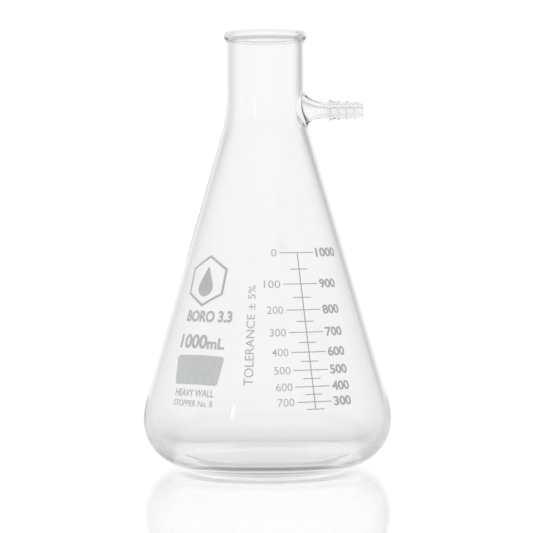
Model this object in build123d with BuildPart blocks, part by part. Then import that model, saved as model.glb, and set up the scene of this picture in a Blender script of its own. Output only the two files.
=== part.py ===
from build123d import *
from math import atan2, cos, degrees, pi, radians, sin, tan
import os

# A one-litre filter flask: a heavy-walled conical flask whose neck carries a barbed side arm.
# It stands on z = 0 with its axis on Z. The side arm points along +X, and the face with the
# fired enamel marks looks along -Y. An azimuth is measured from -Y towards +X, in degrees.

# Blown body, outside
height = 234.0
widest_radius = 67.0
neck_radius = 20.8
cone_half_angle = radians(16.2)
shoulder_z = 189.3
shoulder_round = 65.0
heel_upper_round = 36.0
heel_lower_round = 25.2
heel_corner_z = 4.3
foot_outer_radius = 46.3
foot_inner_radius = 42.5
foot_round = 4.0
punt_rise = 2.2

# Blown body, walls and inside
neck_wall = 2.4
cone_wall = 3.0
side_wall = 3.5
floor_thickness = 4.4
inner_floor_radius = 45.0
inner_heel_rise = 4.1
inner_heel_round = 21.0
inner_heel_upper_round = 33.0
inner_floor_round = 12.0
inner_shoulder_round = 60.0

# Fire-polished rim bead
bead_radius = 22.3
bead_foot_z = 228.9
bead_side_z = 230.2
bead_foot_round = 1.0
bead_lower_round = 3.0
bead_crest_round = 1.9
mouth_round = 1.5

# Side arm, along +X
arm_z = 191.6
arm_tip_x = 52.7
arm_tube_radius = 4.3
arm_bore_radius = 2.15
arm_tip_radius = 3.5
flare_radius = 10.2
flare_round = 5.5
flare_end_x = 30.5
flare_bore_radius = 5.6
flare_bore_end_x = 31.0
barb_count = 4
barb_first_x = 34.6
barb_pitch = 4.37
barb_first_radius = 5.6
barb_last_radius = 4.8
barb_root = 0.95
barb_rise = 0.9
barb_round = 0.35
tip_round = 0.9

# Fired enamel marks on the cone
enamel = 0.12
line_width = 0.5
spine_width = 0.6
scale_azimuth = 22.3
scale_bottom_ml = 250
scale_top_ml = 1000
scale_bottom_z = 35.6
# The scale is approximate: a printed step encloses this share of the volume that it names.
scale_accuracy = 0.877
major_length = 19.3
minor_length = 9.8
numeral_gap = 1.5
bold_cap, bold_stroke, bold_gap = 4.9, 0.95, 1.4
light_cap, light_stroke, light_gap = 3.9, 0.4, 0.9

# Labels beside the scale: azimuth and height of the middle, capitals' height, stroke and gap
tolerance_azimuth, tolerance_z = -9.1, 73.2
tolerance_cap, tolerance_stroke, tolerance_gap = 4.4, 0.45, 1.0
emblem_azimuth, emblem_z = -42.6, 101.0
glass_type_azimuth, glass_type_z = -36.7, 82.6
glass_type_cap, glass_type_stroke, glass_type_gap = 6.2, 1.1, 1.35
capacity_azimuth, capacity_z = -37.2, 69.2
capacity_cap, capacity_stroke, capacity_gap = 7.2, 1.05, 1.4
spot_azimuth, spot_z = -37.8, 55.2
wall_type_azimuth, wall_type_z = -37.4, 43.4
wall_type_cap, wall_type_stroke, wall_type_gap = 3.6, 0.4, 0.6
stopper_size_azimuth, stopper_size_z = -37.3, 38.1
stopper_size_cap, stopper_size_stroke, stopper_size_gap = 3.2, 0.38, 0.55
emblem_circumradius = 14.0
emblem_line = 1.5
drop_radius = 5.0
drop_tip_radius = 0.5
drop_height = 10.5
spot_top_width = 31.0
spot_bottom_width = 27.8
spot_height = 15.6
spot_corner = 1.8

# Stroke lettering: each stroke names the points it joins on a grid, x then y. Capitals are six
# squares high.
capital_squares = 6
strokes = {
    "0": ["00 40 46 06 00"],
    "1": ["05 26 20"],
    "2": ["04 06 46 43 03 00 40"],
    "3": ["06 46 43", "13 43 40 00"],
    "4": ["30 36 02 42"],
    "5": ["46 06 03", "03 43 40 00"],
    "6": ["46 06 00 40 43 03"],
    "7": ["06 46 10"],
    "8": ["03 43 40 00 03", "03 06 46 43"],
    "9": ["00 40 46 06 03 43"],
    "A": ["00 26 40", "12 32"],
    "B": ["03 43 40 00 06 46 43"],
    "C": ["42 40 00 06 46 44"],
    "E": ["40 00 06 46", "03 33"],
    "H": ["00 06", "40 46", "03 43"],
    "L": ["06 00 30"],
    "N": ["00 06 40 46"],
    "O": ["00 40 46 06 00"],
    "P": ["00 06 46 43 03"],
    "R": ["00 06 46 43 03", "23 40"],
    "S": ["00 40 43 03 06 46"],
    "T": ["06 46", "26 20"],
    "V": ["06 20 46"],
    "W": ["06 10 36 50 66"],
    "Y": ["06 23 46", "23 20"],
    "m": ["00 04 34 30", "34 64 60"],
    "o": ["00 30 34 04 00"],
    "%": ["00 46", "04 06 26 24 04", "20 22 42 40 20"],
    "±": ["21 25", "03 43", "00 40"],
    ".": ["00 01"],
}

slope = tan(cone_half_angle)
arm_axis = Axis((0, 0, arm_z), (1, 0, 0))


def cone_radius(z):
    """Outer radius of the straight cone at a height."""
    return neck_radius + (shoulder_z - z) * slope


def cone_height(radius):
    """Height at which the straight outer cone has a radius."""
    return shoulder_z - (radius - neck_radius) / slope


# ---------------------------------------------------------------- glass

bore_radius = neck_radius - neck_wall
inner_widest_radius = widest_radius - side_wall
wall_across = cone_wall / cos(cone_half_angle)

outside_points = [
    (0, punt_rise),
    (foot_inner_radius, 0),
    (foot_outer_radius, 0),
    (widest_radius, heel_corner_z),
    (widest_radius, cone_height(widest_radius)),
    (neck_radius, shoulder_z),
    (neck_radius, bead_foot_z),
    (bead_radius, bead_side_z),
    (bead_radius, height),
    (0, height),
]
outside_rounds = [
    foot_round,
    foot_round,
    heel_lower_round,
    heel_upper_round,
    shoulder_round,
    bead_foot_round,
    bead_lower_round,
    bead_crest_round,
]

inside_points = [
    (0, floor_thickness + punt_rise),
    (inner_floor_radius, floor_thickness),
    (inner_widest_radius, floor_thickness + inner_heel_rise),
    (inner_widest_radius, cone_height(inner_widest_radius + wall_across)),
    (bore_radius, cone_height(bore_radius + wall_across)),
    (bore_radius, height + mouth_round),
]
inside_rounds = [
    inner_floor_round,
    inner_heel_round,
    inner_heel_upper_round,
    inner_shoulder_round,
]

# The solid inside the outer surface, from which the wall is hollowed
with BuildPart() as outer_form:
    with BuildSketch(Plane.XZ):
        with BuildLine():
            outline = FilletPolyline(*outside_points, radius=outside_rounds)
            Line(outline @ 1, outline @ 0)
        make_face()
    revolve(axis=Axis.Z)

# The space that holds the filtrate, open at the mouth
with BuildPart() as cavity:
    with BuildSketch(Plane.XZ):
        with BuildLine():
            outline = FilletPolyline(*inside_points, radius=inside_rounds)
            Polyline(outline @ 1, (0, height + mouth_round), outline @ 0)
        make_face()
    revolve(axis=Axis.Z)

# The air way, which narrows from the neck into the arm's bore
with BuildPart() as air_way:
    with BuildSketch(Plane.XZ):
        with BuildLine():
            outline = FilletPolyline(
                (bore_radius - 4, arm_z + flare_bore_radius),
                (neck_radius, arm_z + flare_bore_radius),
                (flare_bore_end_x, arm_z + arm_bore_radius),
                (arm_tip_x + 1, arm_z + arm_bore_radius),
                radius=[flare_round, 2 * flare_round],
            )
            Polyline(outline @ 1, (arm_tip_x + 1, arm_z), (bore_radius - 4, arm_z), outline @ 0)
        make_face()
    revolve(axis=arm_axis)

with BuildPart() as flask_body:
    add(outer_form.part)
    add(cavity.part, mode=Mode.SUBTRACT)
    mouth_edge = flask_body.edges().filter_by(GeomType.CIRCLE).group_by(Axis.Z)[-1].sort_by(SortBy.RADIUS)[0]
    fillet(mouth_edge, radius=mouth_round)
    add(air_way.part, mode=Mode.SUBTRACT)

barb_points = []
barb_rounds = []
for step in range(barb_count):
    crest = barb_first_radius + (barb_last_radius - barb_first_radius) * step / (barb_count - 1)
    crest_x = barb_first_x + barb_pitch * step
    barb_points += [(crest_x - barb_rise, arm_z + crest - barb_root), (crest_x, arm_z + crest)]
    barb_rounds += [barb_round, barb_round]

# The arm is a separate drawn tube, flared and sealed onto the outside of the neck
with BuildPart() as side_arm:
    with BuildSketch(Plane.XZ):
        with BuildLine():
            outline = FilletPolyline(
                (bore_radius, arm_z + flare_radius),
                (neck_radius + 1, arm_z + flare_radius),
                (neck_radius + 4, arm_z + arm_tube_radius + 3),
                (flare_end_x, arm_z + arm_tube_radius),
                *barb_points,
                (arm_tip_x, arm_z + arm_tip_radius),
                (arm_tip_x, arm_z),
                radius=[1.2, flare_round, flare_round, *barb_rounds, tip_round],
            )
            Polyline(outline @ 1, (bore_radius, arm_z), outline @ 0)
        make_face()
    revolve(axis=arm_axis)
    add(outer_form.part, mode=Mode.SUBTRACT)
    add(air_way.part, mode=Mode.SUBTRACT)

# ---------------------------------------------------------------- fired enamel marks

skin_bottom_z = 34.0
skin_top_z = 121.0
mark_reach = 4.0


def radial_plane(azimuth):
    """Plane through the flask's axis: x runs outwards at an azimuth, and y runs up."""
    turn = radians(azimuth)
    return Plane(origin=(0, 0, 0), x_dir=(sin(turn), -cos(turn), 0), z_dir=(-cos(turn), -sin(turn), 0))


def touching_plane(azimuth, z, upwards=False):
    """Plane touching the cone, z outwards: x runs around the flask, or up the cone."""
    turn = radians(azimuth)
    lean = cos(cone_half_angle)
    rise = sin(cone_half_angle)
    foot = (cone_radius(z) * sin(turn), -cone_radius(z) * cos(turn), z)
    around = (cos(turn), sin(turn), 0)
    up = (-rise * sin(turn), rise * cos(turn), lean)
    outwards = (lean * sin(turn), -lean * cos(turn), rise)
    return Plane(origin=foot, x_dir=up if upwards else around, z_dir=outwards)


def line_height(volume):
    """Height of the printed line for a volume in millilitres."""
    start = cone_radius(scale_bottom_z) - wall_across
    printed = (volume - scale_bottom_ml) * 1000 * scale_accuracy
    end = (start**3 - 3 * slope * printed / pi) ** (1 / 3)
    return scale_bottom_z + (start - end) / slope


def skin_section(bottom_z, top_z):
    """Strip of the enamel skin's section, in a radial plane."""
    depth = enamel / cos(cone_half_angle)
    with BuildSketch(mode=Mode.PRIVATE) as strip:
        Polygon(
            (cone_radius(bottom_z), bottom_z),
            (cone_radius(bottom_z) + depth, bottom_z),
            (cone_radius(top_z) + depth, top_z),
            (cone_radius(top_z), top_z),
            align=None,
        )
    return strip.sketch


def grid_points(stroke_name, square):
    """The points of one stroke, in millimetres."""
    return [(int(point[0]) * square, int(point[1]) * square) for point in stroke_name.split()]


def character_width(character, square):
    """Width of a character between the middles of its outer strokes."""
    if character == " ":
        return 2 * square
    return max(point[0] for name in strokes[character] for point in grid_points(name, square))


def character_face(character, square, stroke):
    """One flat character, centred on the origin, with a square-ended bar for each run."""
    corner = Vector(character_width(character, square) / 2, capital_squares * square / 2)
    with BuildSketch(mode=Mode.PRIVATE) as flat:
        for name in strokes[character]:
            points = [Vector(*point) - corner for point in grid_points(name, square)]
            for start, end in zip(points, points[1:]):
                run = end - start
                turn = degrees(atan2(run.Y, run.X))
                with Locations((start + end) / 2):
                    Rectangle(run.length + stroke, stroke, rotation=turn)
    return flat.sketch


def letter(words, cap, stroke, gap, azimuth, z, upwards=False):
    """Set a line of characters on the cone, each flat where it touches, around a middle point."""
    square = (cap - stroke) / capital_squares
    widths = [character_width(character, square) for character in words]
    pen = -(sum(widths) + gap * (len(words) - 1)) / 2
    faces = []
    for character, width in zip(words, widths):
        along = pen + width / 2
        pen += width + gap
        if character == " ":
            continue
        if upwards:
            place = touching_plane(azimuth, z + along * cos(cone_half_angle), upwards=True)
        else:
            place = touching_plane(azimuth + degrees(along / cone_radius(z)), z)
        faces += (place * character_face(character, square, stroke)).faces()
    extrude(faces, amount=enamel, clean=False)


def words_width(words, cap, stroke, gap):
    """Width of a line of characters between the middles of its outer strokes."""
    square = (cap - stroke) / capital_squares
    return sum(character_width(character, square) + gap for character in words) - gap


with BuildPart() as enamel_skin:
    with BuildSketch(radial_plane(0)):
        add(skin_section(skin_bottom_z, skin_top_z))
    revolve(axis=Axis.Z)


def fire(flat, azimuth, z):
    """Bend a broad flat mark onto the cone: keep what lies inside the enamel skin."""
    extrude(touching_plane(azimuth, z) * flat, amount=mark_reach, both=True)
    add(enamel_skin.part, mode=Mode.INTERSECT)


def graduation_lines(volumes, length):
    """Rings of the cone, cut to a length that is centred on the scale's azimuth."""
    rise = line_width * cos(cone_half_angle) / 2
    for volume in volumes:
        z = line_height(volume)
        arc = degrees(length / cone_radius(z))
        with BuildSketch(radial_plane(scale_azimuth - arc / 2)) as section:
            add(skin_section(z - rise, z + rise))
        revolve(section.sketch, axis=Axis.Z, revolution_arc=arc)


with BuildPart() as major_graduation_lines:
    graduation_lines(range(300, scale_top_ml + 1, 100), major_length)

with BuildPart() as minor_graduation_lines:
    graduation_lines(range(scale_bottom_ml, scale_top_ml, 100), minor_length)

# The spine is broken where a line crosses it
spine_rise = line_height(scale_top_ml) - scale_bottom_z
with BuildSketch() as spine_strip:
    Rectangle(spine_width, spine_rise / cos(cone_half_angle))

with BuildPart() as graduation_spine:
    fire(spine_strip.sketch, scale_azimuth, scale_bottom_z + spine_rise / 2)
    add(major_graduation_lines.part, mode=Mode.SUBTRACT)
    add(minor_graduation_lines.part, mode=Mode.SUBTRACT)

# What the flask holds up to each line, on the right
with BuildPart() as content_numerals:
    for volume in range(300, scale_top_ml + 1, 100):
        z = line_height(volume)
        width = words_width(str(volume), bold_cap, bold_stroke, bold_gap) + bold_stroke
        middle = major_length / 2 + numeral_gap + width / 2
        azimuth = scale_azimuth + degrees(middle / cone_radius(z))
        letter(str(volume), bold_cap, bold_stroke, bold_gap, azimuth, z)

# What has been drawn off down to each line, on the left
with BuildPart() as drawn_off_numerals:
    for volume in range(300, scale_top_ml + 1, 100):
        digits = str(scale_top_ml - volume)
        z = line_height(volume)
        width = words_width(digits, light_cap, light_stroke, light_gap) + light_stroke
        middle = major_length / 2 + numeral_gap + width / 2
        azimuth = scale_azimuth - degrees(middle / cone_radius(z))
        letter(digits, light_cap, light_stroke, light_gap, azimuth, z)

with BuildPart() as tolerance_label:
    letter(
        "TOLERANCE ± 5%",
        tolerance_cap,
        tolerance_stroke,
        tolerance_gap,
        tolerance_azimuth,
        tolerance_z,
        upwards=True,
    )

# A plain sign of its own: a drop in a hexagon
with BuildSketch() as emblem:
    RegularPolygon(emblem_circumradius, 6, rotation=30)
    RegularPolygon(emblem_circumradius - emblem_line, 6, rotation=30, mode=Mode.SUBTRACT)
    with BuildSketch() as drop:
        with Locations((0, -drop_height / 3)):
            Circle(drop_radius)
        with Locations((0, drop_height * 2 / 3)):
            Circle(drop_tip_radius)
        make_hull()

with BuildPart() as hexagon_emblem:
    fire(emblem.sketch, emblem_azimuth, emblem_z)

with BuildPart() as glass_type_label:
    letter(
        "BORO 3.3",
        glass_type_cap,
        glass_type_stroke,
        glass_type_gap,
        glass_type_azimuth,
        glass_type_z,
    )

with BuildPart() as capacity_label:
    letter(
        "1000mL",
        capacity_cap,
        capacity_stroke,
        capacity_gap,
        capacity_azimuth,
        capacity_z,
    )

# The solid patch for pencil notes
with BuildSketch() as spot:
    Polygon(
        (-spot_bottom_width / 2, -spot_height / 2),
        (spot_bottom_width / 2, -spot_height / 2),
        (spot_top_width / 2, spot_height / 2),
        (-spot_top_width / 2, spot_height / 2),
        align=None,
    )
    fillet(spot.vertices(), radius=spot_corner)

with BuildPart() as marking_spot:
    fire(spot.sketch, spot_azimuth, spot_z)

with BuildPart() as wall_type_label:
    letter(
        "HEAVY WALL",
        wall_type_cap,
        wall_type_stroke,
        wall_type_gap,
        wall_type_azimuth,
        wall_type_z,
    )

with BuildPart() as stopper_size_label:
    letter(
        "STOPPER No. 8",
        stopper_size_cap,
        stopper_size_stroke,
        stopper_size_gap,
        stopper_size_azimuth,
        stopper_size_z,
    )

# ---------------------------------------------------------------- files

flask_body.part.label = "flask_body"
side_arm.part.label = "side_arm"
graduation_spine.part.label = "graduation_spine"
major_graduation_lines.part.label = "major_graduation_lines"
minor_graduation_lines.part.label = "minor_graduation_lines"
content_numerals.part.label = "content_numerals"
drawn_off_numerals.part.label = "drawn_off_numerals"
tolerance_label.part.label = "tolerance_label"
hexagon_emblem.part.label = "hexagon_emblem"
glass_type_label.part.label = "glass_type_label"
capacity_label.part.label = "capacity_label"
marking_spot.part.label = "marking_spot"
wall_type_label.part.label = "wall_type_label"
stopper_size_label.part.label = "stopper_size_label"

os.makedirs("parts", exist_ok=True)
export_step(flask_body.part, "parts/flask_body.step")
export_step(side_arm.part, "parts/side_arm.step")
export_step(graduation_spine.part, "parts/graduation_spine.step")
export_step(major_graduation_lines.part, "parts/major_graduation_lines.step")
export_step(minor_graduation_lines.part, "parts/minor_graduation_lines.step")
export_step(content_numerals.part, "parts/content_numerals.step")
export_step(drawn_off_numerals.part, "parts/drawn_off_numerals.step")
export_step(tolerance_label.part, "parts/tolerance_label.step")
export_step(hexagon_emblem.part, "parts/hexagon_emblem.step")
export_step(glass_type_label.part, "parts/glass_type_label.step")
export_step(capacity_label.part, "parts/capacity_label.step")
export_step(marking_spot.part, "parts/marking_spot.step")
export_step(wall_type_label.part, "parts/wall_type_label.step")
export_step(stopper_size_label.part, "parts/stopper_size_label.step")
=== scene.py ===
import math

import bmesh
import bpy
import numpy as np
from mathutils import Matrix, Vector


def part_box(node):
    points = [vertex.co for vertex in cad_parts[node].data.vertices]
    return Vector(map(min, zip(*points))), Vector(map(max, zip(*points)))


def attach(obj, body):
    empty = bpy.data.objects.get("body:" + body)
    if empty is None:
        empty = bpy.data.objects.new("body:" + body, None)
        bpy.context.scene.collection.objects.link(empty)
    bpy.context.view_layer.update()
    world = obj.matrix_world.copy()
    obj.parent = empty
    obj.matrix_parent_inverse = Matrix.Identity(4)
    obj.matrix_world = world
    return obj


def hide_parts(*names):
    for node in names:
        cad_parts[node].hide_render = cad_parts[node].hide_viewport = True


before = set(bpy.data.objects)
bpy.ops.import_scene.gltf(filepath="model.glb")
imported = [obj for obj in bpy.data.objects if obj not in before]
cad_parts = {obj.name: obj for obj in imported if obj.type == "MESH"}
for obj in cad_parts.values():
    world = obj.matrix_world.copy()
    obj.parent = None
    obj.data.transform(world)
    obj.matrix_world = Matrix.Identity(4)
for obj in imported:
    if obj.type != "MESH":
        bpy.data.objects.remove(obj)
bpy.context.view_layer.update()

# The flask stands on z = 0, with its axis on Z, its side arm along +X and its marks towards -Y.
# An azimuth is measured from -Y towards +X, in degrees. Sizes are in millimetres, and pieces are
# built in millimetres and scaled to metres last.
MM = 0.001

# ---------------------------------------------------------------- sizes

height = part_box("flask_body")[1].z / MM
arm_tip_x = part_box("side_arm")[1].x / MM

# Blown body, outside
widest_radius = 67.0
neck_radius = 20.8
cone_half_angle = math.radians(16.2)
slope = math.tan(cone_half_angle)
shoulder_z = 189.3
shoulder_round = 65.0
heel_upper_round = 36.0
heel_lower_round = 25.2
heel_corner_z = 4.3
foot_outer_radius = 46.3
foot_inner_radius = 42.5
foot_round = 4.0
punt_rise = 2.2
dome_radius = 16.0

# Blown body, walls and inside
neck_wall = 2.4
cone_wall = 3.0
side_wall = 3.5
floor_thickness = 4.4
inner_floor_radius = 45.0
inner_heel_rise = 4.1
inner_heel_round = 21.0
inner_heel_upper_round = 33.0
inner_floor_round = 12.0
inner_shoulder_round = 60.0
bore_radius = neck_radius - neck_wall
inner_widest_radius = widest_radius - side_wall
wall_across = cone_wall / math.cos(cone_half_angle)

# Fire-polished rim bead
bead_radius = 22.3
bead_foot_z = 228.9
bead_side_z = 230.2
bead_foot_round = 1.0
bead_lower_round = 3.0
bead_crest_round = 1.9
mouth_round = 1.5

# Side arm, along +X. Its seal is a fillet that starts on the neck's wall, further up than down.
arm_z = 191.6
arm_tube_radius = 4.3
arm_bore_radius = 2.15
arm_tip_radius = 3.5
outer_seal_radius = 10.6
outer_seal_upward = 0.8
outer_seal_end_x = 31.0
inner_seal_radius = 10.4
inner_seal_end_x = 33.0
tube_start_x = 32.5
tube_swell = 0.15
tube_bore_end_x = 33.5
barb_count = 4
barb_first_x = 34.6
barb_pitch = 4.37
barb_first_radius = 5.6
barb_last_radius = 4.8
barb_root = 0.95
barb_rise = 0.5
barb_root_round = 0.25
barb_crest_round = 0.2
tip_round = 0.9
tip_bore_round = 0.4

# Printed scale. It is approximate: a printed step encloses this share of the volume it names.
scale_azimuth = 22.3
scale_bottom_ml = 250
scale_top_ml = 1000
scale_bottom_z = 35.6
scale_accuracy = 0.877
major_length = 19.3
numeral_gap = 1.5

# Mesh of the glass: columns round the body, and the block of it that gives way to the side arm
columns = 192
arm_columns = 24
outer_rows = 24
outer_row_step = 1.25
inner_rows = 24
inner_row_step = 1.0


def cone_radius(z):
    """Outer radius of the straight cone at a height."""
    return neck_radius + (shoulder_z - z) * slope


def cone_height(radius):
    """Height at which the straight outer cone has a radius."""
    return shoulder_z - (radius - neck_radius) / slope


# ---------------------------------------------------------------- outlines


def rounded(corners, rounds, step):
    """Straight runs joined by arcs, as points an even step apart."""
    corners = [np.array(corner, float) for corner in corners]
    path = [corners[0]]
    for before, corner, after, radius in zip(corners, corners[1:], corners[2:], rounds):
        back = (before - corner) / np.linalg.norm(before - corner)
        onwards = (after - corner) / np.linalg.norm(after - corner)
        half = math.acos(float(np.clip(back @ onwards, -1, 1))) / 2
        bisector = (back + onwards) / np.linalg.norm(back + onwards)
        middle = corner + bisector * radius / math.sin(half)
        start = corner + back * radius / math.tan(half) - middle
        end = corner + onwards * radius / math.tan(half) - middle
        turn = math.pi - 2 * half
        for share in np.linspace(0, 1, max(4, math.ceil(radius * turn / step)) + 1):
            mixed = start * math.sin((1 - share) * turn) + end * math.sin(share * turn)
            path.append(middle + mixed / math.sin(turn))
    path.append(corners[-1])
    path = np.array(path)
    run = run_along(path)
    stations = np.linspace(0, run[-1], math.ceil(run[-1] / step) + 1)
    return at_stations(path, run, stations)


def run_along(path):
    """Distance along a path at each of its points."""
    return np.concatenate([[0], np.cumsum(np.linalg.norm(np.diff(path, axis=0), axis=1))])


def at_stations(path, run, stations):
    """Points of a path at distances along it."""
    return np.stack([np.interp(stations, run, path[:, axis]) for axis in (0, 1)], axis=1)


def softened(path, reach, step):
    """Average each point with its neighbours within a reach, and keep both ends."""
    half = max(1, round(reach / step))
    weights = np.hanning(2 * half + 3)[1:-1]
    weights /= weights.sum()
    before = 2 * path[0] - path[half:0:-1]
    after = 2 * path[-1] - path[-2 : -half - 2 : -1]
    padded = np.concatenate([before, path, after])
    return np.stack([np.convolve(padded[:, axis], weights, "valid") for axis in (0, 1)], axis=1)


def smoothstep(low, high, value):
    """0 below low, 1 above high, and a smooth rise between."""
    share = np.clip((value - low) / (high - low), 0, 1)
    return share * share * (3 - 2 * share)


# ---------------------------------------------------------------- glass

# Corners of the wall's outline with their rounds, from the underside out, up, over the rim and
# down the inside. The outline starts and ends on the axis.
wall_corners = [
    ((foot_inner_radius, 0), foot_round),
    ((foot_outer_radius, 0), foot_round),
    ((widest_radius, heel_corner_z), heel_lower_round),
    ((widest_radius, cone_height(widest_radius)), heel_upper_round),
    ((neck_radius, shoulder_z), shoulder_round),
    ((neck_radius, bead_foot_z), bead_foot_round),
    ((bead_radius, bead_side_z), bead_lower_round),
    ((bead_radius, height), bead_crest_round),
    ((bore_radius, height), mouth_round),
    ((bore_radius, cone_height(bore_radius + wall_across)), inner_shoulder_round),
    (
        (inner_widest_radius, cone_height(inner_widest_radius + wall_across)),
        inner_heel_upper_round,
    ),
    ((inner_widest_radius, floor_thickness + inner_heel_rise), inner_heel_round),
    ((inner_floor_radius, floor_thickness), inner_floor_round),
]
outline_step = 0.1
glass_outline = rounded(
    [(0, punt_rise)]
    + [corner for corner, _ in wall_corners]
    + [(0, floor_thickness + punt_rise)],
    [corner_round for _, corner_round in wall_corners],
    outline_step,
)

# Blowing softens the walls. The foot and the rim stay crisp, and the change between is smooth.
crisp_reach = 0.4
blown_reach = 7.0
foot_to_wall = (8, 24)
wall_to_rim = (205, 222)
close = softened(glass_outline, crisp_reach, outline_step)
wide = softened(glass_outline, blown_reach, outline_step)
blown = smoothstep(*foot_to_wall, close[:, 1]) * (1 - smoothstep(*wall_to_rim, close[:, 1]))
glass_outline = close + (wide - close) * blown[:, None]
rim_index = int(np.argmax(glass_outline[:, 1]))

# The floor's two sides rise to the middle: they are domed there, so that they have no point
under_the_floor = np.arange(len(glass_outline)) < rim_index
floor_slope = punt_rise / np.where(under_the_floor, foot_inner_radius, inner_floor_radius)
from_dome_edge = np.clip(dome_radius - glass_outline[:, 0], 0, None)
glass_outline[:, 1] -= floor_slope * from_dome_edge**2 / (2 * dome_radius)
glass_run = run_along(glass_outline)


def run_at_height(z, inside):
    """Distance along the outline at which the wall reaches a height."""
    part = slice(rim_index, None) if inside else slice(0, rim_index + 1)
    z_part = glass_outline[part, 1]
    run_part = glass_run[part]
    order = np.argsort(z_part, kind="stable")
    return np.interp(z, z_part[order], run_part[order])


# Spacing of the mesh's rings, closest at the rim and around the foot
rim_step = 0.28
wall_step = 2.3
foot_step = 0.75
floor_step = 3.0
wall_end_z = 226
wall_start_z = 14
floor_edge_radius = 36


def ring_step(radius, z):
    """Spacing of the rings at a place on the outline."""
    if z > wall_end_z:
        return rim_step
    if z >= wall_start_z:
        return wall_step
    return foot_step if radius > floor_edge_radius else floor_step


def stations_between(start, end):
    """Distances along the outline for rings from start to end, both included."""
    found = [start]
    while found[-1] < end:
        radius, z = at_stations(glass_outline, glass_run, found[-1:])[0]
        found.append(found[-1] + ring_step(radius, z))
    found = np.array(found)
    return start + (found - start) * (end - start) / (found[-1] - start)


outer_row_z = arm_z + outer_row_step * (np.arange(outer_rows + 1) - outer_rows / 2)
inner_row_z = arm_z + inner_row_step * (np.arange(inner_rows, -1, -1) - inner_rows / 2)
outer_block = run_at_height(outer_row_z, False)
inner_block = run_at_height(inner_row_z, True)
below = stations_between(0, outer_block[0])
over = stations_between(outer_block[-1], inner_block[0])
down = stations_between(inner_block[-1], glass_run[-1])
ring_runs = np.concatenate([below, outer_block[1:], over[1:], inner_block[1:], down[1:]])
rings = at_stations(glass_outline, glass_run, ring_runs)
outer_first_row = len(below) - 1
inner_first_row = outer_first_row + outer_rows + len(over) - 1


# A hand-blown wall strays by these amounts, in waves. Each wave is its share, its lobes round the
# wall, the height in which it turns by a radian, and how its phase differs between the outside
# and the inside. The last wave runs up the wall in rings that sway.
outer_stray = 0.028
inner_stray = 0.05
inner_phase = 1.9
lobed_waves = ((0.40, 2, 61, 1.0), (0.30, 3, -37, 2.1), (0.18, 5, 23, 3.3))
ring_share = 0.12
ring_height = 8.5
ring_sway = 1.3
stray_fade_in = (9, 24)
stray_fade_out = (216, 226)


def hand_blown(azimuth, z, inside):
    """How far a hand-blown wall strays from round and even at a place, in millimetres."""
    phase = inner_phase if inside else 0.0
    stray = ring_share * np.sin(z / ring_height + ring_sway * np.sin(azimuth + phase))
    for share, lobes, drift, shift in lobed_waves:
        stray += share * np.sin(lobes * azimuth + z / drift + shift * phase)
    fade = smoothstep(*stray_fade_in, z) * (1 - smoothstep(*stray_fade_out, z))
    amount = -inner_stray if inside else outer_stray
    return amount * (1.0 + stray) * fade


turns = np.arange(columns) * 2 * math.pi / columns
vertices = []
faces = []


def add_vertices(points):
    """Add points and return their indices."""
    first = len(vertices)
    vertices.extend([tuple(float(value) for value in point) for point in points])
    return list(range(first, first + len(points)))


def join_rings(one, other):
    """Faces between two closed rings with the same number of points."""
    for index in range(len(one)):
        after = (index + 1) % len(one)
        faces.append((one[index], one[after], other[after], other[index]))


body_rings = []
for number, (radius, z) in enumerate(rings[1:-1], 1):
    inside = ring_runs[number] > glass_run[rim_index]
    radii = radius + hand_blown(turns, z, inside)
    points = np.stack([radii * np.cos(turns), radii * np.sin(turns), np.full(columns, z)], axis=1)
    body_rings.append(add_vertices(points))
underside_middle = add_vertices([(0, 0, rings[0][1])])[0]
floor_middle = add_vertices([(0, 0, rings[-1][1])])[0]


def in_arm_block(row, column):
    """Whether a face of the body lies where the arm is sealed on."""
    beside = column < arm_columns or column >= columns - arm_columns
    outer = outer_first_row <= row < outer_first_row + outer_rows
    inner = inner_first_row <= row < inner_first_row + inner_rows
    return beside and (outer or inner)


for row in range(len(body_rings) - 1):
    lower, upper = body_rings[row], body_rings[row + 1]
    for column in range(columns):
        if not in_arm_block(row + 1, column):
            after = (column + 1) % columns
            faces.append((lower[column], lower[after], upper[after], upper[column]))
for column in range(columns):
    after = (column + 1) % columns
    faces.append((underside_middle, body_rings[0][after], body_rings[0][column]))
    faces.append((floor_middle, body_rings[-1][column], body_rings[-1][after]))


def block_edge(first_row, rows, rising):
    """Indices around the block that the arm replaces, seen from outside, from -Y and low."""
    low, high = first_row - 1, first_row - 1 + rows
    if not rising:
        low, high = high, low
    step = 1 if high > low else -1
    across = list(range(-arm_columns, arm_columns))
    edge = [body_rings[low][column % columns] for column in across]
    edge += [body_rings[row][arm_columns] for row in range(low, high, step)]
    edge += [body_rings[high][-column % columns] for column in across]
    edge += [body_rings[row][-arm_columns % columns] for row in range(high, low, -step)]
    return edge


def wall_points(y, z, inside):
    """Points on the neck's wall, on the arm's side, over points of the plane across the arm."""
    order = run_at_height(z, inside)
    radius = at_stations(glass_outline, glass_run, order)[:, 0]
    azimuth = np.arcsin(np.clip(y / radius, -1, 1))
    radius = radius + hand_blown(azimuth, z, inside)
    return np.stack([np.sqrt(radius**2 - y**2), y, z], axis=1)


# Rings of the mesh from the block's edge to the seal and along its fillet, and the distance over
# which the wall's slope is measured
patch_rings = 9
fillet_rings = 26
slope_probe = 0.02


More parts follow.
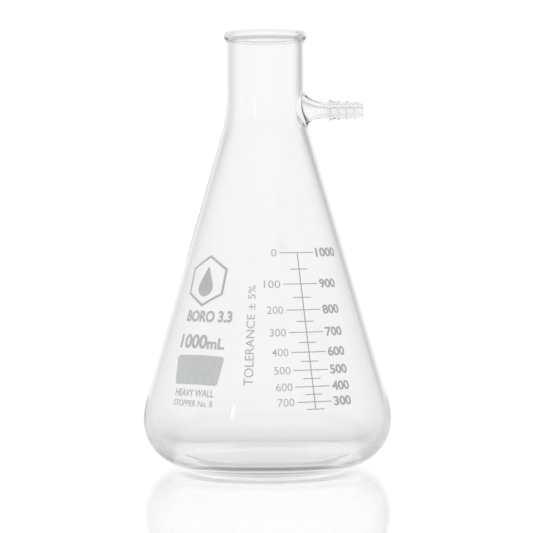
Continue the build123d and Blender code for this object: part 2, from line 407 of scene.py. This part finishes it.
def seal(edge, inside, seal_radius, first_handle, second_control, end):
    """Carry a wall from the edge of its block into the arm's tube.

    seal_radius gives, for an angle about the arm, where the fillet leaves the wall. The fillet is a
    curve with first_handle, second_control as x and radius, and end as x, radius and lean. The last
    ring and the angles of its points are returned.
    """
    points = np.array([vertices[index] for index in edge])
    y, z = points[:, 1], points[:, 2] - arm_z
    angle = np.arctan2(z, y)
    reach = np.hypot(y, z)
    start = seal_radius(angle)
    ring = edge
    for share in np.linspace(0, 1, patch_rings + 1)[1:]:
        now = reach + (start - reach) * share
        laid = wall_points(now * np.cos(angle), arm_z + now * np.sin(angle), inside)
        following = add_vertices(laid)
        join_rings(ring, following)
        ring = following
    at_start = wall_points(start * np.cos(angle), arm_z + start * np.sin(angle), inside)
    closer = start - slope_probe
    at_closer = wall_points(closer * np.cos(angle), arm_z + closer * np.sin(angle), inside)
    lean = (at_closer[:, 0] - at_start[:, 0]) / slope_probe
    length = first_handle / np.sqrt(1 + lean**2)
    p0 = np.stack([at_start[:, 0], start], axis=1)
    p1 = p0 + np.stack([lean * length, -length], axis=1)
    p2 = np.broadcast_to(np.array(second_control, float), p0.shape)
    p3 = np.stack([end[0] + end[2] * np.sin(angle), np.full(len(angle), end[1])], axis=1)
    for share in np.linspace(0, 1, fillet_rings + 1)[1:]:
        rest = 1 - share
        curve = rest**3 * p0 + 3 * rest**2 * share * p1 + 3 * rest * share**2 * p2 + share**3 * p3
        ring_points = np.stack(
            [curve[:, 0], curve[:, 1] * np.cos(angle), arm_z + curve[:, 1] * np.sin(angle)], axis=1
        )
        following = add_vertices(ring_points)
        join_rings(ring, following)
        ring = following
    return ring, angle


outer_edge = block_edge(outer_first_row, outer_rows, True)
inner_edge = block_edge(inner_first_row, inner_rows, False)
outer_ring, arm_angles = seal(
    outer_edge,
    False,
    lambda angle: outer_seal_radius + outer_seal_upward * np.sin(angle),
    first_handle=3.4,
    second_control=(25.0, 4.85),
    end=(outer_seal_end_x, arm_tube_radius, 1.0),
)
inner_ring, _ = seal(
    inner_edge,
    True,
    lambda angle: np.full(len(angle), inner_seal_radius),
    first_handle=4.2,
    second_control=(24.6, 3.0),
    end=(inner_seal_end_x, arm_bore_radius, 0.0),
)

# The tube, from the seal over the barbs and round its end into the bore
tube_corners = [(tube_start_x, arm_tube_radius + tube_swell)]
tube_rounds = []
for step in range(barb_count):
    crest = barb_first_radius + (barb_last_radius - barb_first_radius) * step / (barb_count - 1)
    crest_x = barb_first_x + barb_pitch * step
    tube_corners += [(crest_x - barb_rise, crest - barb_root), (crest_x, crest)]
    tube_rounds += [barb_root_round, barb_crest_round]
tube_corners += [
    (arm_tip_x, arm_tip_radius),
    (arm_tip_x, arm_bore_radius),
    (tube_bore_end_x, arm_bore_radius),
]
tube_rounds += [tip_round, tip_bore_round]
tube_step = 0.05
tube_softness = 0.15
tube_outline = rounded(tube_corners, tube_rounds, tube_step)
tube_outline = softened(tube_outline, tube_softness, tube_step)
tube_run = run_along(tube_outline)
tube_tip = int(np.argmax(tube_outline[:, 0]))

# Close rings over the barbs and round the tip, and a few along the straight bore
barb_ring_step = 0.21
past_the_tip = 1.6
bore_ring_gap = 0.5
bore_rings = 6
barb_stations = np.arange(0, tube_run[tube_tip] + past_the_tip, barb_ring_step)
bore_stations = np.linspace(barb_stations[-1] + bore_ring_gap, tube_run[-1], bore_rings)
tube_stations = np.concatenate([barb_stations, bore_stations])
for x, radius in at_stations(tube_outline, tube_run, tube_stations):
    ring_points = np.stack(
        [
            np.full(len(arm_angles), x),
            radius * np.cos(arm_angles),
            arm_z + radius * np.sin(arm_angles),
        ],
        axis=1,
    )
    following = add_vertices(ring_points)
    join_rings(outer_ring, following)
    outer_ring = following
join_rings(outer_ring, inner_ring)


def finished_mesh(name, points, polygons, smooth):
    """A piece of the flask: a closed mesh with its faces turned outwards, in metres."""
    mesh = bpy.data.meshes.new(name)
    mesh.from_pydata([Vector(point) * MM for point in points], [], polygons)
    shape = bmesh.new()
    shape.from_mesh(mesh)
    bmesh.ops.recalc_face_normals(shape, faces=shape.faces)
    if shape.calc_volume(signed=True) < 0:
        bmesh.ops.reverse_faces(shape, faces=shape.faces)
    shape.to_mesh(mesh)
    shape.free()
    mesh.polygons.foreach_set("use_smooth", [smooth] * len(mesh.polygons))
    piece = bpy.data.objects.new(name, mesh)
    bpy.context.scene.collection.objects.link(piece)
    return piece


flask_glass = finished_mesh("flask_glass", vertices, faces, True)
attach(flask_glass, "root")
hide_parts("flask_body", "side_arm")

# ---------------------------------------------------------------- fired enamel marks

enamel_thickness = 0.1
slice_width = 1.1


def line_height(volume):
    """Height of the printed line for a volume in millilitres."""
    start = cone_radius(scale_bottom_z) - wall_across
    printed = (volume - scale_bottom_ml) * 1000 * scale_accuracy
    end = (start**3 - 3 * slope * printed / math.pi) ** (1 / 3)
    return scale_bottom_z + (start - end) / slope


def onto_cone(azimuth, z, out):
    """A point over the cone at an azimuth and a height, a distance out from it."""
    turn = math.radians(azimuth)
    radius = cone_radius(z) + out * math.cos(cone_half_angle)
    return (radius * math.sin(turn), -radius * math.cos(turn), z + out * math.sin(cone_half_angle))


def flat_words(words, width, cap, bold, upwards):
    """Words as a flat centred shape in millimetres, sliced where it will bend."""
    text = bpy.data.curves.new("words", "FONT")
    text.body = words
    text.offset = bold
    text.resolution_u = 5
    text_object = bpy.data.objects.new("words", text)
    shape = bmesh.new()
    shape.from_mesh(text_object.to_mesh())
    text_object.to_mesh_clear()
    bpy.data.objects.remove(text_object)
    bpy.data.curves.remove(text)
    xs = [vertex.co.x for vertex in shape.verts]
    ys = [vertex.co.y for vertex in shape.verts]
    middle = Vector(((min(xs) + max(xs)) / 2, (min(ys) + max(ys)) / 2, 0))
    stretch = (width / (max(xs) - min(xs)), cap / (max(ys) - min(ys)))
    for vertex in shape.verts:
        vertex.co -= middle
        vertex.co.x *= stretch[0]
        vertex.co.y *= stretch[1]
    direction = Vector((0, 1, 0)) if upwards else Vector((1, 0, 0))
    reach = (cap if upwards else width) / 2
    for offset in np.arange(-reach + slice_width, reach, slice_width):
        whole = list(shape.verts) + list(shape.edges) + list(shape.faces)
        cut_at = direction * float(offset)
        bmesh.ops.bisect_plane(shape, geom=whole, dist=1e-4, plane_co=cut_at, plane_no=direction)
    shape.verts.index_update()
    return shape


def printed_words(name, lines, bold, upwards):
    """Thin closed letters bent onto the cone.

    Each line is its words, its width, its capitals' height, and the azimuth and z of its middle.
    """
    label = bmesh.new()
    for words, width, cap, azimuth, z in lines:
        shape = flat_words(words, width, cap, bold, upwards)
        lower = {}
        raised = {}
        for vertex in shape.verts:
            across, up = vertex.co.x, vertex.co.y
            if upwards:
                across, up = -up, across
            spot_z = z + up * math.cos(cone_half_angle)
            turn = azimuth + math.degrees(across / cone_radius(z))
            lower[vertex.index] = label.verts.new(onto_cone(turn, spot_z, 0))
            raised[vertex.index] = label.verts.new(onto_cone(turn, spot_z, enamel_thickness))
        for face in shape.faces:
            corners = [vertex.index for vertex in face.verts]
            label.faces.new([raised[index] for index in corners])
            label.faces.new([lower[index] for index in reversed(corners)])
        for edge in shape.edges:
            if len(edge.link_faces) == 1:
                one, other = (vertex.index for vertex in edge.verts)
                label.faces.new([lower[one], lower[other], raised[other], raised[one]])
        shape.free()
    label.verts.index_update()
    points = [vertex.co.copy() for vertex in label.verts]
    polygons = [[vertex.index for vertex in face.verts] for face in label.faces]
    label.free()
    piece = finished_mesh(name + "_print", points, polygons, False)
    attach(piece, "root")
    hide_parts(name)
    return piece


def numeral_lines(numbers, digit_width, cap, side):
    """Where the numbers beside the lines go: side is 1 to the right of the lines, -1 to the left."""
    lines = []
    for number, volume in numbers:
        z = line_height(volume)
        width = digit_width * len(number)
        middle = side * (major_length / 2 + numeral_gap + width / 2)
        azimuth = scale_azimuth + math.degrees(middle / cone_radius(z))
        lines.append((number, width, cap, azimuth, z))
    return lines


# Numbers stand beside every hundred millilitres: the volume held, and the volume drawn off
volumes = range(300, scale_top_ml + 1, 100)
numbers_held = [(str(volume), volume) for volume in volumes]
numbers_drawn = [(str(scale_top_ml - volume), volume) for volume in volumes]
bold_digit_width, bold_digit_height = 3.75, 4.95
light_digit_width, light_digit_height = 2.85, 4.1
held_lines = numeral_lines(numbers_held, bold_digit_width, bold_digit_height, 1)
drawn_lines = numeral_lines(numbers_drawn, light_digit_width, light_digit_height, -1)

# Each label is its name, its lines, how much bolder its strokes are, and whether it reads upwards
labels = [
    ("content_numerals", held_lines, 0.028, False),
    ("drawn_off_numerals", drawn_lines, 0.002, False),
    ("tolerance_label", [("TOLERANCE ± 5%", 53.2, 4.5, -9.1, 73.4)], 0.004, True),
    ("glass_type_label", [("BORO 3.3", 30.0, 6.2, -36.7, 82.6)], 0.04, False),
    (
        "capacity_label",
        [("1000", 19.2, 7.6, -43.8, 69.6), ("mL", 10.4, 5.9, -28.5, 68.7)],
        0.034,
        False,
    ),
    ("wall_type_label", [("HEAVY WALL", 25.5, 3.8, -37.4, 43.4)], 0.016, False),
    ("stopper_size_label", [("STOPPER No. 8", 25.8, 3.3, -37.4, 38.1)], 0.010, False),
]
prints = {name: printed_words(name, lines, bold, upwards) for name, lines, bold, upwards in labels}

# ---------------------------------------------------------------- materials


def new_material(name):
    """A node material, its node tree and its surface shader."""
    material = bpy.data.materials.new(name)
    material.use_nodes = True
    return material, material.node_tree, material.node_tree.nodes["Principled BSDF"]


def fill(tree, socket, value):
    """Set a socket to a number, or link another node's output to it."""
    if isinstance(value, bpy.types.NodeSocket):
        tree.links.new(value, socket)
    else:
        socket.default_value = value


def maths(tree, operation, *values):
    """One math node, whose inputs are numbers or other nodes' outputs."""
    node = tree.nodes.new("ShaderNodeMath")
    node.operation = operation
    for socket, value in zip(node.inputs, values):
        fill(tree, socket, value)
    return node.outputs[0]


def spread(tree, value, low, high, at_low, at_high, interpolation="LINEAR"):
    """A change from at_low, where value is low, to at_high, where it is high."""
    node = tree.nodes.new("ShaderNodeMapRange")
    node.interpolation_type = interpolation
    for socket, number in zip(node.inputs, (value, low, high, at_low, at_high)):
        fill(tree, socket, number)
    return node.outputs[0]


def noise(tree, scale, detail):
    """A noise texture fixed to the piece, with features of about 1 / scale metres."""
    place = tree.nodes.new("ShaderNodeTexCoord")
    texture = tree.nodes.new("ShaderNodeTexNoise")
    texture.inputs["Scale"].default_value = scale
    texture.inputs["Detail"].default_value = detail
    tree.links.new(place.outputs["Object"], texture.inputs["Vector"])
    return texture.outputs["Fac"]


def relief(tree, surface, value, strength, distance):
    """Raise a surface by a texture's value, up to a distance in metres."""
    bump = tree.nodes.new("ShaderNodeBump")
    bump.inputs["Strength"].default_value = strength
    bump.inputs["Distance"].default_value = distance
    tree.links.new(value, bump.inputs["Height"])
    tree.links.new(bump.outputs["Normal"], surface.inputs["Normal"])


# Clear glass whose tint grows with its thickness, with a blown surface's faint ripple and film
glass, tree, surface = new_material("borosilicate_glass")
surface.inputs["Base Color"].default_value = (1, 1, 1, 1)
surface.inputs["IOR"].default_value = 1.473
surface.inputs["Transmission Weight"].default_value = 1.0
tint = tree.nodes.new("ShaderNodeVolumeAbsorption")
tint.inputs["Color"].default_value = (0.82, 0.82, 0.84, 1)
tint.inputs["Density"].default_value = 30.0
tree.links.new(tint.outputs["Volume"], tree.nodes["Material Output"].inputs["Volume"])
ripple = noise(tree, scale=60.0, detail=1.0)
relief(tree, surface, ripple, strength=0.15, distance=0.0001)
film_roughness = 0.006
film = spread(tree, noise(tree, scale=45.0, detail=3.0), 0.4, 0.75, 0.0, film_roughness)
tree.links.new(film, surface.inputs["Roughness"])
flask_glass.data.materials.append(glass)


def fired_enamel(name, thin, thick, grain_scale):
    """A matt printed enamel, fired onto glass, with fine grain and patches of uneven ink."""
    material, tree, surface = new_material(name)
    grain = noise(tree, grain_scale, detail=3.0)
    patches = noise(tree, scale=240.0, detail=2.0)
    grain_ink = spread(tree, grain, 0.3, 0.7, 0.0, 0.6)
    patch_ink = spread(tree, patches, 0.3, 0.7, 0.0, 0.4)
    colour = tree.nodes.new("ShaderNodeMix")
    colour.data_type = "RGBA"
    colour.inputs["A"].default_value = thin
    colour.inputs["B"].default_value = thick
    tree.links.new(maths(tree, "ADD", grain_ink, patch_ink), colour.inputs["Factor"])
    tree.links.new(colour.outputs["Result"], surface.inputs["Base Color"])
    tree.links.new(spread(tree, grain, 0.3, 0.7, 0.42, 0.58), surface.inputs["Roughness"])
    relief(tree, surface, grain, strength=0.4, distance=0.00003)
    return material


dark_enamel = fired_enamel(
    "grey_enamel", (0.43, 0.425, 0.415, 1), (0.33, 0.325, 0.315, 1), 2600.0
)
pale_enamel = fired_enamel(
    "pale_enamel", (0.50, 0.495, 0.485, 1), (0.40, 0.395, 0.385, 1), 2600.0
)
spot_enamel = fired_enamel(
    "marking_enamel", (0.555, 0.57, 0.565, 1), (0.465, 0.48, 0.475, 1), 1800.0
)
finishes = {
    "content_numerals": dark_enamel,
    "graduation_spine": dark_enamel,
    "major_graduation_lines": dark_enamel,
    "minor_graduation_lines": dark_enamel,
    "drawn_off_numerals": pale_enamel,
    "tolerance_label": pale_enamel,
    "hexagon_emblem": pale_enamel,
    "glass_type_label": pale_enamel,
    "capacity_label": pale_enamel,
    "wall_type_label": pale_enamel,
    "stopper_size_label": pale_enamel,
    "marking_spot": spot_enamel,
}
for name, material in finishes.items():
    piece = prints.get(name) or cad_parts[name]
    piece.data.materials.clear()
    piece.data.materials.append(material)

# ---------------------------------------------------------------- surroundings


def ramp(tree, value, low, high, at_low, at_high):
    """A smooth change from at_low, where value is low, to at_high, where it is high."""
    return spread(tree, value, low, high, at_low, at_high, "SMOOTHSTEP")


def seen_through_glass(tree, inside, outside):
    """inside for light that has come through glass, and outside for the rest."""
    path = tree.nodes.new("ShaderNodeLightPath")
    through = maths(tree, "GREATER_THAN", path.outputs["Transmission Depth"], 0.5)
    share = maths(tree, "MULTIPLY", maths(tree, "SUBTRACT", inside, outside), through)
    return maths(tree, "ADD", share, outside)


def separated(tree, vector):
    """The x, y and z of a vector."""
    parts = tree.nodes.new("ShaderNodeSeparateXYZ")
    tree.links.new(vector, parts.inputs[0])
    return parts.outputs


# White walls all round, and for light through the glass a room whose corners are darker, more so
# on the right. It has a pale wall in front of the flask and a white ceiling, with a darker band
# below the ceiling. x, y and z are those of the direction that is looked at.
wall_white = 1.03
room_white = 0.975
left_corners = 0.76
right_corners = 0.55
front_wall = 0.95
below_ceiling = 0.64
world = bpy.data.worlds.new("studio")
bpy.context.scene.world = world
world.use_nodes = True
tree = world.node_tree
where = tree.nodes.new("ShaderNodeTexCoord")
x, y, z = separated(tree, where.outputs["Generated"])
bearing = maths(tree, "ARCTAN2", x, y)
four_walls = maths(tree, "COSINE", maths(tree, "MULTIPLY", bearing, 4.0))
darkest = ramp(tree, x, -0.6, 0.6, left_corners, right_corners)
level = ramp(tree, four_walls, -0.4, 1.0, darkest, 1.0)
level = maths(tree, "MAXIMUM", level, ramp(tree, y, -0.5, -0.2, front_wall, 0.0))
level = maths(tree, "MULTIPLY", level, ramp(tree, z, 0.12, 0.38, 1.0, below_ceiling))
level = maths(tree, "MAXIMUM", level, ramp(tree, z, 0.4, 0.58, 0.0, 1.0))
level = maths(tree, "MULTIPLY", level, room_white)
background = tree.nodes["Background"]
background.inputs["Color"].default_value = (1, 1, 1, 1)
tree.links.new(seen_through_glass(tree, level, wall_white), background.inputs["Strength"])

# A glossy white floor that glows evenly. For light through the glass it has the flask's shade
# painted on by the
# place on the floor: even under the flask, fading outwards around it, and a thin painted dark line
# where the foot touches it in front.
# Places and distances on the floor are in metres.
floor_white = 1.02
under_flask = 0.92
under_edge = (0.035, 0.040)
far_from_flask = 0.96
shade_strength = 0.0155
shade_start = 0.053
shade_breadth = 0.7
contact_shade = 0.36
contact_inside = (0.0445, 0.0458)
contact_outside = (0.0475, 0.0500)
contact_front = (-0.03, -0.005)
bpy.ops.mesh.primitive_plane_add(size=12, location=(0, 0, 0))
floor = bpy.context.object
floor.name = "floor"
white, tree, surface = new_material("white_floor")
tree.nodes.remove(surface)
place = tree.nodes.new("ShaderNodeNewGeometry")
across, along, _ = separated(tree, place.outputs["Position"])
aside = maths(tree, "MULTIPLY", maths(tree, "ABSOLUTE", across), shade_breadth)
reach = maths(tree, "MAXIMUM", aside, maths(tree, "ABSOLUTE", along))
shade_reach = maths(tree, "MAXIMUM", reach, shade_start)
around = maths(tree, "SUBTRACT", far_from_flask, maths(tree, "DIVIDE", shade_strength, shade_reach))
outside = ramp(tree, reach, *under_edge, 0.0, 1.0)
step_out = maths(tree, "MULTIPLY", maths(tree, "SUBTRACT", around, under_flask), outside)
level = maths(tree, "ADD", step_out, under_flask)
squares = [maths(tree, "MULTIPLY", side, side) for side in (across, along)]
radius = maths(tree, "SQRT", maths(tree, "ADD", *squares))
# Painted shade: a thin dark ring where the foot meets the floor, on the front side only
inner_side = ramp(tree, radius, *contact_inside, 1.0, contact_shade)
outer_side = ramp(tree, radius, *contact_outside, 0.0, 1.0)
contact = maths(tree, "MAXIMUM", inner_side, outer_side)
contact = maths(tree, "MAXIMUM", contact, ramp(tree, along, *contact_front, 0.0, 1.0))
level = maths(tree, "MULTIPLY", level, contact)
glow = tree.nodes.new("ShaderNodeEmission")
tree.links.new(seen_through_glass(tree, level, floor_white), glow.inputs["Strength"])
gloss = tree.nodes.new("ShaderNodeBsdfGlossy")
gloss.inputs["Color"].default_value = (1, 1, 1, 1)
gloss.inputs["Roughness"].default_value = 0.018
sheen = tree.nodes.new("ShaderNodeFresnel")
sheen.inputs["IOR"].default_value = 1.55
mixed = tree.nodes.new("ShaderNodeMixShader")
tree.links.new(sheen.outputs[0], mixed.inputs[0])
tree.links.new(glow.outputs[0], mixed.inputs[1])
tree.links.new(gloss.outputs[0], mixed.inputs[2])
tree.links.new(mixed.outputs[0], tree.nodes["Material Output"].inputs["Surface"])
floor.data.materials.append(white)

# A small softbox in front, on the left, for the highlights
softbox_data = bpy.data.lights.new("softbox", "AREA")
softbox_data.shape = "RECTANGLE"
softbox_data.size = 0.04
softbox_data.size_y = 0.2
softbox_data.energy = 0.3
softbox = bpy.data.objects.new("softbox", softbox_data)
softbox.visible_camera = False
softbox.location = (-0.72, -1.12, 0.47)
softbox_aim = Vector((0, 0, 0.1)) - softbox.location
softbox.rotation_euler = softbox_aim.to_track_quat("-Z", "Y").to_euler()
bpy.context.scene.collection.objects.link(softbox)

# ---------------------------------------------------------------- camera and picture

camera_data = bpy.data.cameras.new("camera")
camera = bpy.data.objects.new("camera", camera_data)
bpy.context.scene.collection.objects.link(camera)
bpy.context.scene.camera = camera
camera.location = (0, -1.130, 0.137)
camera_aim = Vector((0, 0, 0.1074)) - camera.location
camera_roll = Matrix.Rotation(-math.radians(0.35), 3, "Z")
camera_turn = camera_aim.to_track_quat("-Z", "Y").to_matrix() @ camera_roll
camera.rotation_euler = camera_turn.to_euler()
camera_data.sensor_width = 36
camera_data.lens = 141.0
camera_data.clip_start = 0.01
camera_data.clip_end = 50

scene = bpy.context.scene
scene.view_settings.view_transform = "Standard"
scene.view_settings.look = "None"
scene.cycles.max_bounces = 64
scene.cycles.transmission_bounces = 64
scene.cycles.glossy_bounces = 64
scene.cycles.diffuse_bounces = 3
scene.cycles.volume_bounces = 0
scene.cycles.transparent_max_bounces = 16
scene.cycles.use_denoising = True
scene.cycles.sample_clamp_indirect = 6.0
scene.cycles.blur_glossy = 0.0
